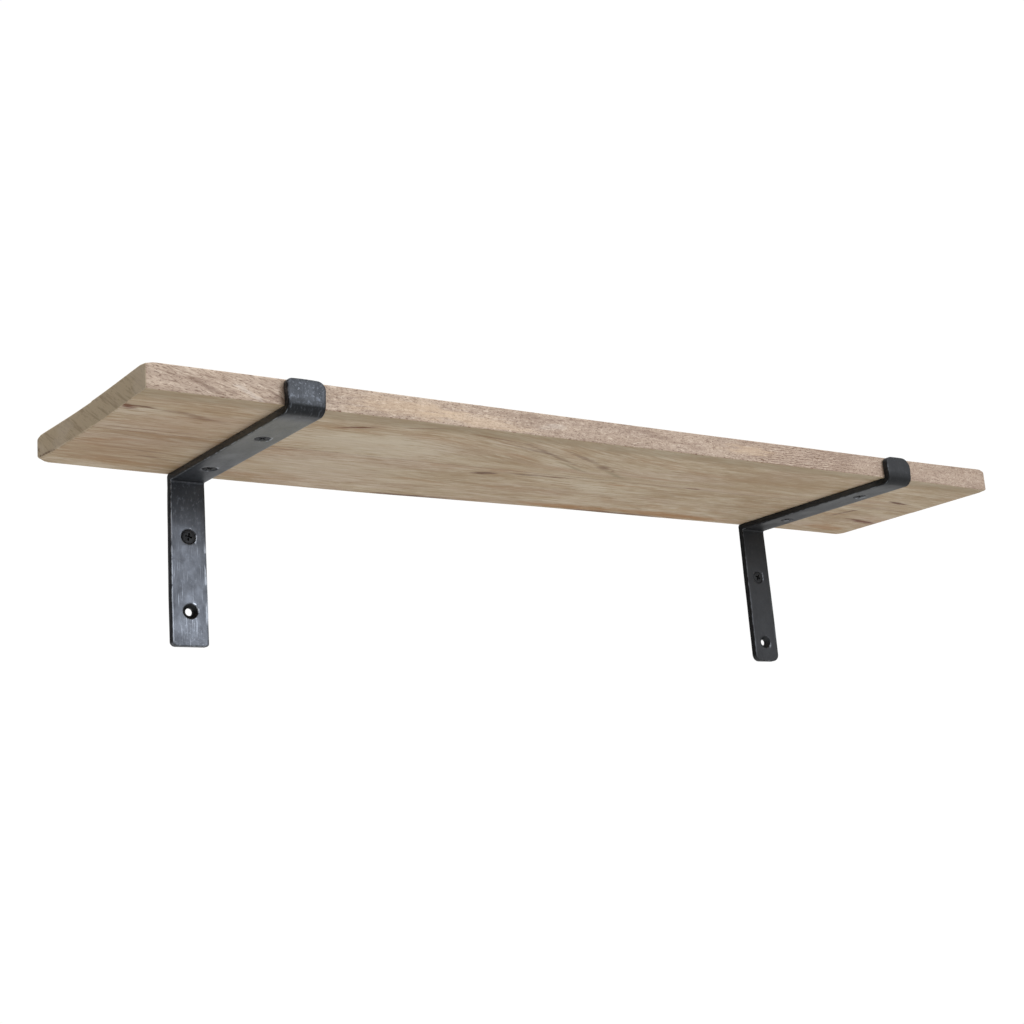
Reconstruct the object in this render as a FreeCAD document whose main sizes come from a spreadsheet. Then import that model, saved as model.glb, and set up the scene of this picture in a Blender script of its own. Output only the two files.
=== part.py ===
import FreeCAD
import Part
import Sketcher
import os

# Wall shelf: a board of two edge-glued planks carried by two flat-bar brackets.
# Each bracket is one bar bent into a front lip, an arm under the board and a leg
# down the wall. Millimetres. +X runs along the board, the wall is the plane Y = 0,
# the front edge looks towards -Y, and Z = 0 is the underside of the board.

SIZES = [
    ("board_length", 880, "end to end along the wall"),
    ("board_depth", 200, "wall to front edge"),
    ("board_thickness", 20, "planed thickness"),
    ("front_plank_width", 96, "front edge to the glue line"),
    ("left_taper", 5.5, "how much the left end draws in towards the front edge"),
    ("right_taper", 2.5, "how much the right end draws in towards the front edge"),
    ("board_arris", 2, "rounding of the board's edges"),
    ("bar_width", 30, "flat bar, width"),
    ("bar_thickness", 6, "flat bar, thickness"),
    ("bar_arris", 0.8, "rounding of the rolled bar's edges"),
    ("lip_gap", 0.5, "the lip stops this far below the board's top"),
    ("left_leg_drop", 140, "underside of the board to the foot of the leg"),
    ("right_leg_drop", 142, "underside of the board to the foot of the leg"),
    ("front_bend_inner", 2, "inner radius of the bend round the board's edge"),
    ("front_bend_outer", 8, "outer radius of the same bend"),
    ("wall_bend_inner", 1.5, "fillet in the corner between arm and leg"),
    ("wall_bend_outer", 2, "outer radius of the corner at the wall"),
    ("screw_hole", 6.4, "clearance hole through the bar"),
    ("countersink", 13, "countersink, at the bar's face"),
    ("countersink_angle", 90, "included angle of countersink and screw head"),
    ("screw_thread", 5.8, "outer diameter of the screw's thread"),
    ("screw_length", 20, "screw, overall"),
    ("screw_point", 6, "length of the screw's point"),
    ("screw_head", 11.5, "diameter of the countersunk head"),
    ("head_land", 0.4, "cylindrical rim of the head"),
    ("recess_span", 5.6, "cross recess, across its arms"),
    ("recess_slot", 1.6, "cross recess, width of an arm"),
    ("recess_depth", 2.4, "cross recess, depth"),
    ("recess_taper", 10, "cross recess, slope of its walls"),
    ("pilot_depth", 15, "depth of a screw's hole in the board"),
    ("left_bracket_at", -320.7, "middle of the left leg, from mid-length"),
    ("left_bracket_turn", 1.2, "the left arm points this far right of square"),
    ("left_arm_front_hole", 63.5, "from the board's front edge"),
    ("left_arm_rear_hole", 153.5, "from the board's front edge"),
    ("left_leg_upper_hole", 51.5, "below the board"),
    ("left_leg_lower_hole", 112, "below the board"),
    ("left_lip_corner", 5, "rounding of the lip's top corners"),
    ("left_foot_corner", 3, "rounding of the leg's lower corners"),
    ("right_bracket_at", 305, "middle of the right leg, from mid-length"),
    ("right_bracket_turn", 0, "the right arm is square to the wall"),
    ("right_arm_front_hole", 46.5, "from the board's front edge"),
    ("right_arm_rear_hole", 144.5, "from the board's front edge"),
    ("right_leg_upper_hole", 55.5, "below the board"),
    ("right_leg_lower_hole", 122.5, "below the board"),
    ("right_lip_corner", 8, "rounding of the lip's top corners"),
    ("right_foot_corner", 7, "rounding of the leg's lower corners"),
]

SIDES = ("left", "right")

# Each bracket has two screws up into the board and one into the wall. The number is
# how far the screw was turned when it was driven home, in degrees.
SCREWS = [
    ("left", "front", 20),
    ("left", "rear", 38),
    ("left", "wall", 12),
    ("right", "front", 31),
    ("right", "rear", 8),
    ("right", "wall", 27),
]

CLOSE = 1e-4


def make_sheet(doc):
    """One row for each driving dimension: its name, its value and what it is."""
    sheet = doc.addObject("Spreadsheet::Sheet", "sizes")
    for row, (alias, value, note) in enumerate(SIZES, start=1):
        sheet.set(f"A{row}", alias)
        sheet.set(f"B{row}", str(value))
        sheet.set(f"C{row}", note)
        sheet.setAlias(f"B{row}", alias)
    doc.recompute()
    return sheet


def new_body(doc, label):
    body = doc.addObject("PartDesign::Body", label)
    body.Label = label
    return body


def add_sketch(body, name, role, offset=None):
    """A sketch on one of the body's origin planes, moved off it by a formula."""
    sketch = body.newObject("Sketcher::SketchObject", name)
    plane = next(item for item in body.Origin.OriginFeatures if item.Role == role)
    sketch.AttachmentSupport = [(plane, "")]
    sketch.MapMode = "FlatFace"
    if offset:
        sketch.setExpression("AttachmentOffset.Base.z", offset)
    return sketch


def drive(sketch, kind, geometry, point, name, formula):
    """Ties one coordinate of a point to the sheet."""
    value = float(sketch.evalExpression(formula))
    sketch.addConstraint(Sketcher.Constraint(kind, geometry, point, value))
    index = sketch.ConstraintCount - 1
    sketch.renameConstraint(index, name)
    sketch.setExpression(f"Constraints.{name}", formula)


def add_outline(sketch, corners):
    """A closed outline of straight lines; each corner is a pair of formulas."""
    places = []
    for across, up in corners:
        x = float(sketch.evalExpression(across))
        y = float(sketch.evalExpression(up))
        places.append(FreeCAD.Vector(x, y, 0))
    for index, place in enumerate(places):
        following = places[(index + 1) % len(places)]
        sketch.addGeometry(Part.LineSegment(place, following), False)
    for index, (across, up) in enumerate(corners):
        before = (index - 1) % len(corners)
        sketch.addConstraint(Sketcher.Constraint("Coincident", before, 2, index, 1))
        drive(sketch, "DistanceX", index, 1, f"across_{index}", across)
        drive(sketch, "DistanceY", index, 1, f"up_{index}", up)


def add_centres(sketch, centres, diameter):
    """One circle at each pair of formulas."""
    start_radius = float(sketch.evalExpression(diameter)) / 2
    for index, (across, up) in enumerate(centres):
        x = float(sketch.evalExpression(across))
        y = float(sketch.evalExpression(up))
        circle = Part.Circle(FreeCAD.Vector(x, y, 0), FreeCAD.Vector(0, 0, 1), start_radius)
        sketch.addGeometry(circle, False)
        drive(sketch, "DistanceX", index, 3, f"across_{index}", across)
        drive(sketch, "DistanceY", index, 3, f"up_{index}", up)
        sketch.addConstraint(Sketcher.Constraint("Diameter", index, 2 * start_radius))
        name = f"diameter_{index}"
        sketch.renameConstraint(sketch.ConstraintCount - 1, name)
        sketch.setExpression(f"Constraints.{name}", diameter)


def edges_at(feature, x=None, y=None, z=None):
    """Names of the edges whose ends all have the coordinates given."""
    wanted = [("x", x), ("y", y), ("z", z)]
    wanted = [(axis, value) for axis, value in wanted if value is not None]
    names = []
    for number, edge in enumerate(feature.Shape.Edges, start=1):
        ends = [vertex.Point for vertex in edge.Vertexes]
        gaps = [abs(getattr(end, axis) - value) for end in ends for axis, value in wanted]
        if max(gaps) < CLOSE:
            names.append(f"Edge{number}")
    return names


def add_fillet(body, name, base, edges, radius):
    """Rounds the named edges of the feature before it; radius is a formula."""
    fillet = body.newObject("PartDesign::Fillet", name)
    fillet.Base = (base, edges)
    fillet.setExpression("Radius", radius)
    body.Document.recompute()
    return fillet


def add_hole(body, name, sketch, against_normal=True):
    """A drilled hole at each circle of the sketch; the caller sets its sizes."""
    body.Document.recompute()
    hole = body.newObject("PartDesign::Hole", name)
    hole.Profile = sketch
    hole.Reversed = not against_normal
    hole.Threaded = False
    hole.ThreadType = "None"
    return hole


def check_removed(body, feature_before):
    """A cut that points the wrong way removes nothing, so it is caught here."""
    body.Document.recompute()
    before = feature_before.Shape.Volume
    after = body.Shape.Volume
    if after >= before - CLOSE:
        raise RuntimeError(f"{body.Label}: a cut removed nothing")


def stand_off(side):
    """How far a turned bracket comes forward, so that it clears the board and the wall."""
    turn = f"sizes.{side}_bracket_turn"
    return f"(sizes.bar_width / 2 * sin({turn}) + sizes.board_depth * (1 - cos({turn})))"


def on_bracket(side, y):
    """Where a point of the bracket's middle line lies in plan; y is its own distance."""
    turn = f"sizes.{side}_bracket_turn"
    across = f"sizes.{side}_bracket_at - ({y}) * sin({turn})"
    return across, f"({y}) * cos({turn}) - {stand_off(side)}"


def arm_hole_y(side, which):
    return f"sizes.{side}_arm_{which}_hole - sizes.board_depth"


def make_plank(doc, which, near_edge, far_edge):
    """One plank between two lines along X, each given by a formula for its Y."""
    label = f"{which}_plank"
    body = new_body(doc, label)

    def end(side, sign, edge):
        drawn_in = f"sizes.{side}_taper * ({edge}) / sizes.board_depth"
        return f"{sign}(sizes.board_length / 2 + {drawn_in})"

    outline = add_sketch(body, f"{label}_outline", "XY_Plane")
    add_outline(outline, [
        (end("left", "-", near_edge), near_edge),
        (end("right", "", near_edge), near_edge),
        (end("right", "", far_edge), far_edge),
        (end("left", "-", far_edge), far_edge),
    ])
    board = body.newObject("PartDesign::Pad", f"{label}_thickness")
    board.Profile = outline
    board.setExpression("Length", "sizes.board_thickness")
    doc.recompute()

    # Every edge is eased except those of the glued face.
    glue_line = float(board.evalExpression("sizes.front_plank_width - sizes.board_depth"))
    glued = edges_at(board, y=glue_line)
    names = [f"Edge{number + 1}" for number in range(len(board.Shape.Edges))]
    eased = [name for name in names if name not in glued]
    arris = add_fillet(body, f"{label}_arris", board, eased, "sizes.board_arris")

    pilots = add_sketch(body, f"{label}_pilot_centres", "XY_Plane")
    centres = [on_bracket(side, arm_hole_y(side, which)) for side in SIDES]
    add_centres(pilots, centres, "sizes.screw_thread")
    hole = add_hole(body, f"{label}_pilots", pilots, against_normal=False)
    hole.setExpression("Diameter", "sizes.screw_thread")
    hole.setExpression("Depth", "sizes.pilot_depth")
    hole.DepthType = "Dimension"
    hole.DrillPoint = "Angled"
    body.Tip = hole
    check_removed(body, arris)
    return body


def make_bracket(doc, side):
    """A flat bar bent twice: lip, arm and leg, drilled and countersunk."""
    label = f"{side}_bracket"
    body = new_body(doc, label)
    lip_top = "sizes.board_thickness - sizes.lip_gap"
    leg_foot = f"-sizes.{side}_leg_drop"

    profile = add_sketch(body, f"{label}_profile", "YZ_Plane")
    add_outline(profile, [
        ("-sizes.board_depth", lip_top),
        ("-sizes.board_depth - sizes.bar_thickness", lip_top),
        ("-sizes.board_depth - sizes.bar_thickness", "-sizes.bar_thickness"),
        ("-sizes.bar_thickness", "-sizes.bar_thickness"),
        ("-sizes.bar_thickness", leg_foot),
        ("0", leg_foot),
        ("0", "0"),
        ("-sizes.board_depth", "0"),
    ])
    bar = body.newObject("PartDesign::Pad", f"{label}_bar")
    bar.Profile = profile
    bar.Midplane = True
    bar.setExpression("Length", "sizes.bar_width")
    doc.recompute()

    thickness = float(bar.evalExpression("sizes.bar_thickness"))
    front = float(bar.evalExpression("-sizes.board_depth"))
    top = float(bar.evalExpression(lip_top))
    foot = float(bar.evalExpression(leg_foot))
    edge_x = float(bar.evalExpression("sizes.bar_width / 2"))

    last = bar
    bends = [
        ("front_outer", front - thickness, -thickness, "sizes.front_bend_outer"),
        ("front_inner", front, 0, "sizes.front_bend_inner"),
        ("wall_inner", -thickness, -thickness, "sizes.wall_bend_inner"),
        ("wall_outer", 0, 0, "sizes.wall_bend_outer"),
    ]
    for bend, y, z, radius in bends:
        edges = edges_at(last, y=y, z=z)
        last = add_fillet(body, f"{label}_{bend}", last, edges, radius)
    corners = [("lip", top, f"sizes.{side}_lip_corner"), ("foot", foot, f"sizes.{side}_foot_corner")]
    for which, z, radius in corners:
        edges = edges_at(last, x=edge_x, z=z) + edges_at(last, x=-edge_x, z=z)
        last = add_fillet(body, f"{label}_{which}_corners", last, edges, radius)
    # Each broad face has one continuous edge, so one stretch of it stands for all.
    edges = edges_at(last, x=edge_x, z=-thickness) + edges_at(last, x=edge_x, z=0)
    last = add_fillet(body, f"{label}_arris", last, edges, "sizes.bar_arris")

    arm = add_sketch(body, f"{label}_arm_centres", "XY_Plane", "-sizes.bar_thickness")
    arm_centres = [("0", arm_hole_y(side, which)) for which in ("front", "rear")]
    add_centres(arm, arm_centres, "sizes.screw_hole")
    leg = add_sketch(body, f"{label}_leg_centres", "XZ_Plane", "sizes.bar_thickness")
    leg_centres = [("0", f"-sizes.{side}_leg_{which}_hole") for which in ("upper", "lower")]
    add_centres(leg, leg_centres, "sizes.screw_hole")
    for name, sketch, against_normal in (("arm", arm, False), ("leg", leg, True)):
        hole = add_hole(body, f"{label}_{name}_holes", sketch, against_normal)
        hole.DepthType = "ThroughAll"
        hole.setExpression("Diameter", "sizes.screw_hole")
        hole.HoleCutType = "Countersink"
        hole.HoleCutCustomValues = True
        hole.setExpression("HoleCutDiameter", "sizes.countersink")
        hole.setExpression("HoleCutCountersinkAngle", "sizes.countersink_angle")
        body.Tip = hole
        check_removed(body, last)
        last = hole
    turn = float(bar.evalExpression(f"sizes.{side}_bracket_turn"))
    body.Placement = FreeCAD.Placement(FreeCAD.Vector(), turn_about_z(turn))
    put_at(body, *on_bracket(side, "0"))
    return body


def turn_about_z(degrees):
    return FreeCAD.Rotation(FreeCAD.Vector(0, 0, 1), degrees)


def put_at(body, x, y, z="0"):
    """Moves a body to a place given by three formulas."""
    for axis, formula in zip("xyz", (x, y, z)):
        body.setExpression(f"Placement.Base.{axis}", formula)


def make_screw(doc, label):
    """A countersunk wood screw with a cross recess, head at Z = 0, point upwards."""
    body = new_body(doc, label)
    head = "sizes.screw_head / 2"
    thread = "sizes.screw_thread / 2"
    cone = f"({head} - {thread}) / tan(sizes.countersink_angle / 2)"

    half = add_sketch(body, f"{label}_profile", "XZ_Plane")
    add_outline(half, [
        ("0", "0"),
        (head, "0"),
        (head, "sizes.head_land"),
        (thread, f"sizes.head_land + {cone}"),
        (thread, "sizes.screw_length - sizes.screw_point"),
        ("0", "sizes.screw_length"),
    ])
    turned = body.newObject("PartDesign::Revolution", f"{label}_turned")
    turned.Profile = half
    turned.ReferenceAxis = (half, ["V_Axis"])
    turned.Angle = 360
    doc.recompute()

    recess = add_sketch(body, f"{label}_recess", "XY_Plane")
    span = "sizes.recess_span / 2"
    slot = "sizes.recess_slot / 2"
    quarter = [(span, slot), (slot, slot), (slot, span)]
    add_outline(recess, [
        *quarter,
        *[(f"-({across})", up) for across, up in reversed(quarter)],
        *[(f"-({across})", f"-({up})") for across, up in quarter],
        *[(across, f"-({up})") for across, up in reversed(quarter)],
    ])
    cross = body.newObject("PartDesign::Pocket", f"{label}_cross")
    cross.Profile = recess
    cross.Reversed = True
    cross.setExpression("Length", "sizes.recess_depth")
    cross.setExpression("TaperAngle", "-sizes.recess_taper")
    body.Tip = cross
    check_removed(body, turned)
    return body


def place_screw(body, side, which, turn):
    """Seats a screw's head in its countersink, in the arm or in the leg's upper hole."""
    rim_depth = "(sizes.countersink - sizes.screw_head) / 2 / tan(sizes.countersink_angle / 2)"
    head_face = f"-sizes.bar_thickness + {rim_depth} - sizes.head_land"
    bracket_turn = turn_about_z(float(body.evalExpression(f"sizes.{side}_bracket_turn")))
    driven = turn_about_z(turn)
    if which == "wall":
        into_wall = FreeCAD.Rotation(FreeCAD.Vector(1, 0, 0), -90)
        body.Placement = FreeCAD.Placement(FreeCAD.Vector(), bracket_turn * into_wall * driven)
        put_at(body, *on_bracket(side, head_face), f"-sizes.{side}_leg_upper_hole")
    else:
        body.Placement = FreeCAD.Placement(FreeCAD.Vector(), driven)
        put_at(body, *on_bracket(side, arm_hole_y(side, which)), head_face)


def check_model(doc, bodies):
    """Stops unless every object was made and every sub-part is one sound solid."""
    doc.recompute()
    for item in doc.Objects:
        if "Invalid" in item.State or "Error" in item.State:
            raise RuntimeError(f"{item.Label} failed: {item.State}")
    for body in bodies:
        shape = body.Shape
        if shape.isNull() or not shape.isValid() or len(shape.Solids) != 1:
            raise RuntimeError(f"{body.Label} is not one sound solid")


doc = FreeCAD.newDocument("wall_shelf")
make_sheet(doc)

glue_line = "sizes.front_plank_width - sizes.board_depth"
bodies = [
    make_plank(doc, "front", "-sizes.board_depth", glue_line),
    make_plank(doc, "rear", glue_line, "0"),
]
for side in SIDES:
    bodies.append(make_bracket(doc, side))
for side, which, turn in SCREWS:
    screw = make_screw(doc, f"{side}_{which}_screw")
    place_screw(screw, side, which, turn)
    bodies.append(screw)

check_model(doc, bodies)
os.makedirs("parts", exist_ok=True)
for body in bodies:
    body.Shape.exportStep(f"parts/{body.Label}.step")
    print(f"{body.Label}: {body.Shape.Volume:.0f} mm3")
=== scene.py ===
import bpy
import bmesh
import math
from mathutils import Matrix, Vector, noise


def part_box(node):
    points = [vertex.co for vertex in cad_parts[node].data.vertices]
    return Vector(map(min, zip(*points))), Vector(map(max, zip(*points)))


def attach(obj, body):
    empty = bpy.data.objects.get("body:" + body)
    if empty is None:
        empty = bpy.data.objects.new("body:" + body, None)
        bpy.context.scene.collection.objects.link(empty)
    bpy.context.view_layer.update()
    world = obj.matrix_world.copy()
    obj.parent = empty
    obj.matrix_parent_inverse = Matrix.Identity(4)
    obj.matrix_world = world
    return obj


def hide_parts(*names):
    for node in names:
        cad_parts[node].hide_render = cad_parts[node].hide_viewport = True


# Wall shelf, seen from below and to the left. Metres; the wall is y = 0, the room is -y,
# and the underside of the board is z = 0.

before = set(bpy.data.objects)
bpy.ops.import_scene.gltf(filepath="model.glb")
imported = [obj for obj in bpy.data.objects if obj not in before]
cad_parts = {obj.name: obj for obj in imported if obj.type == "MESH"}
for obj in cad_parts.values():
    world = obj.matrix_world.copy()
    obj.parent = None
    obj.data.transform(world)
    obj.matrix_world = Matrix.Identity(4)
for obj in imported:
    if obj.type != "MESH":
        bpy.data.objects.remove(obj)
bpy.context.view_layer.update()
print("frame:", len(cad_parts), "nodes")

mm = 0.001


def sliceMesh(bm, axis, places):
    # cuts the whole mesh with a plane across the axis at every place
    normal = Vector((0, 0, 0))
    normal[axis] = 1
    for place in places:
        bmesh.ops.bisect_plane(bm, geom=bm.verts[:] + bm.edges[:] + bm.faces[:], dist=1e-7,
                               plane_co=normal * place, plane_no=normal)


def spaced(start, end, step):
    # places from start to end, about a step apart, without the two ends
    count = max(1, round((end - start) / step))
    return [start + (end - start) * n / count for n in range(1, count)]


def makeBox(bm, low, high):
    made = bmesh.ops.create_cube(bm, size=1)
    size = Vector(high) - Vector(low)
    middle = (Vector(high) + Vector(low)) / 2
    bmesh.ops.scale(bm, vec=size, verts=made["verts"])
    bmesh.ops.translate(bm, vec=middle, verts=made["verts"])


def bevelEdges(bm, edges, offset, segments):
    return bmesh.ops.bevel(bm, geom=edges, offset=offset, offset_type="OFFSET", affect="EDGES",
                           segments=segments, profile=0.5, material=-1, clamp_overlap=True)


def finishPiece(bm, name, node, material, angle):
    # closes the mesh, smooths it up to the given angle and puts it in place of its CAD node
    bmesh.ops.recalc_face_normals(bm, faces=bm.faces[:])
    mesh = bpy.data.meshes.new(name)
    bm.to_mesh(mesh)
    bm.free()
    mesh.shade_smooth()
    mesh.set_sharp_from_angle(angle=math.radians(angle))
    piece = bpy.data.objects.new(name, mesh)
    bpy.context.scene.collection.objects.link(piece)
    mesh.materials.append(material)
    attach(piece, "root")
    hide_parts(node)


def newMaterial(name):
    material = bpy.data.materials.new(name)
    material.use_nodes = True
    material.node_tree.nodes.clear()
    return material, material.node_tree


def addNode(tree, kind, inputs=None, **settings):
    node = tree.nodes.new("ShaderNode" + kind)
    for name, value in settings.items():
        setattr(node, name, value)
    for name, value in (inputs or {}).items():
        if isinstance(value, bpy.types.NodeSocket):
            tree.links.new(value, node.inputs[name])
        else:
            node.inputs[name].default_value = value
    return node


def calc(tree, operation, first, second=0.5, third=0.5):
    inputs = {0: first, 1: second, 2: third}
    return addNode(tree, "Math", inputs, operation=operation).outputs[0]


def times(tree, first, second):
    return calc(tree, "MULTIPLY", first, second)


def plus(tree, first, second):
    return calc(tree, "ADD", first, second)


def ramp(tree, value, low, high, start=0.0, end=1.0):
    # smooth step from start to end while the value goes from low to high
    inputs = {"Value": value, "From Min": low, "From Max": high, "To Min": start, "To Max": end}
    return addNode(tree, "MapRange", inputs, interpolation_type="SMOOTHSTEP").outputs[0]


def faded(tree, value, *ends):
    # the product of soft steps; each end says where its step starts and where it is full
    share = ramp(tree, value, *ends[0])
    for end in ends[1:]:
        share = times(tree, share, ramp(tree, value, *end))
    return share


# A mix node's sockets for each kind of value: its two inputs and its output.
mixSockets = {"FLOAT": (2, 3, 0), "VECTOR": (4, 5, 1), "RGBA": (6, 7, 2)}


def mix(tree, share, first, second, kind="RGBA"):
    firstSocket, secondSocket, mixed = mixSockets[kind]
    inputs = {0: share, firstSocket: first, secondSocket: second}
    return addNode(tree, "Mix", inputs, data_type=kind).outputs[mixed]


def washed(tree, tone, look, washes):
    # lays the look's named colours over a tone, one after the other; each comes up to its
    # strength while its pattern goes from low to high
    for pattern, low, high, strength, tint in washes:
        tone = mix(tree, ramp(tree, pattern, low, high, 0, strength), tone, look[tint])
    return tone


def color(red, green, blue):
    # a colour written as it looks on a screen, 0 to 255, as the light values that nodes use
    def light(value):
        share = value / 255
        return share / 12.92 if share < 0.04045 else ((share + 0.055) / 1.055) ** 2.4
    return (light(red), light(green), light(blue), 1)


def scaled(tree, vector, size, offset=(0, 0, 0)):
    return addNode(tree, "Mapping", {"Vector": vector, "Scale": size, "Location": offset}).outputs[0]


def noiseAt(tree, vector, size, detail, rough, distortion=0.0, offset=(0, 0, 0)):
    # noise with this many waves per metre along each axis
    inputs = {"Vector": scaled(tree, vector, size, offset), "Scale": 1, "Detail": detail,
              "Roughness": rough, "Distortion": distortion}
    return addNode(tree, "TexNoise", inputs).outputs["Fac"]


def finishMaterial(tree, inputs, height=None, strength=0, depth=0):
    # the shader and its output; the height gives it a relief this strong and this deep
    if height is not None:
        relief = {"Height": height, "Strength": strength, "Distance": depth}
        inputs["Normal"] = addNode(tree, "Bump", relief).outputs[0]
    shader = addNode(tree, "BsdfPrincipled", inputs)
    addNode(tree, "OutputMaterial", {"Surface": shader.outputs[0]})


barShape = {
    "width": 30 * mm,
    "thick": 6 * mm,
    "arris": 0.85 * mm,
    "lipTop": 19.5 * mm,
    "depth": 200 * mm,
    "frontInner": 2 * mm,
    "frontOuter": 8 * mm,
    "wallInner": 1.5 * mm,
    "wallOuter": 2 * mm,
    "cornerZone": 12 * mm,   # the wall corner is worked out within this much of the wall
    "cornerCut": 4 * mm,     # how much shorter the bar runs there than round a sharp corner
    "hole": 3.2 * mm,
    "sink": 6.5 * mm,
    "sinkRim": 0.15 * mm,
    "patch": 8 * mm,         # half the square of mesh that gives way to a hole
    "crown": 0.5 * mm,       # the lip's top edge is a little round
    "crownReach": 6 * mm,
    "flareReach": 16 * mm,   # the lip spreads over this length
    "wideReach": 90 * mm,    # and the leg widens over this one
    "wobble": 0.12 * mm,     # unevenness of the sides
    "wearFull": 0.3 * mm,    # the arris is fully rubbed this near to it
    "wearFade": 0.6 * mm,    # and less and less over this distance
    "rimGlint": 0.2 * mm,     # half the width of the painted highlight on a countersink's rim
}

# Turn in degrees, the rest in mm. Holes are placed from the board's front edge on the arm and from
# its underside on the leg. Flare and wide are what the lip and the leg gain on each side.
bracketShape = {
    "left": {"turn": 1.2, "drop": 140, "armHoles": (63.5, 153.5), "legHoles": (51.5, 112),
             "lipCorners": (4.0, 6.5), "footCorners": (4.0, 2.4), "flare": (0.5, 1.1),
             "wide": (1.5, 0)},
    "right": {"turn": 0, "drop": 142, "armHoles": (46.5, 144.5), "legHoles": (55.5, 122.5),
              "lipCorners": (6, 10), "footCorners": (7, 7), "flare": (1.0, 1.4),
              "wide": (0, 1.4)},
}


def bracketStand(side):
    # where a bracket stands, turned a little about the upright: its turn and its place
    turn = math.radians(bracketShape[side]["turn"])
    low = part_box(side + "_bracket")[0]
    across = low.x + barShape["width"] / 2 * math.cos(turn)
    standOff = barShape["width"] / 2 * math.sin(turn) + barShape["depth"] * (1 - math.cos(turn))
    return Matrix.Rotation(turn, 3, "Z"), Vector((across, -standOff, 0))


stands = {side: bracketStand(side) for side in bracketShape}


def onBracket(side, point):
    turned, place = stands[side]
    return turned @ Vector(point) + place


# The wood is one timber seen on three kinds of face: broad faces with long streaks, sawn edges
# full of short pores, and ends with slanting growth rings.
woodLook = {
    "broad": color(179, 160, 133),
    "broadDark": color(150, 125, 93),
    "broadPale": color(197, 183, 160),
    "broadPink": color(176, 153, 132),
    "edge": color(178, 158, 139),
    "edgePale": color(204, 186, 166),
    "edgePore": color(116, 93, 77),
    "edgeYellow": color(200, 174, 144),
    "end": color(200, 180, 150),
    "endRing": color(160, 138, 112),
    "endPale": color(208, 190, 166),
    "olive": color(146, 130, 103),
    "brown": color(100, 70, 50),
    "red": color(104, 64, 42),
    "amber": color(150, 107, 62),
    "white": color(222, 212, 200),
    "rough": (0.59, 0.76),      # the least and the most
    "specular": 0.3,
    "relief": 0.35,
    "bandEdge": -0.184,         # the darker strip along the front of the underside ends here
    "glueLine": -0.104,
    "leftEnd": -0.438,
}

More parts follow.
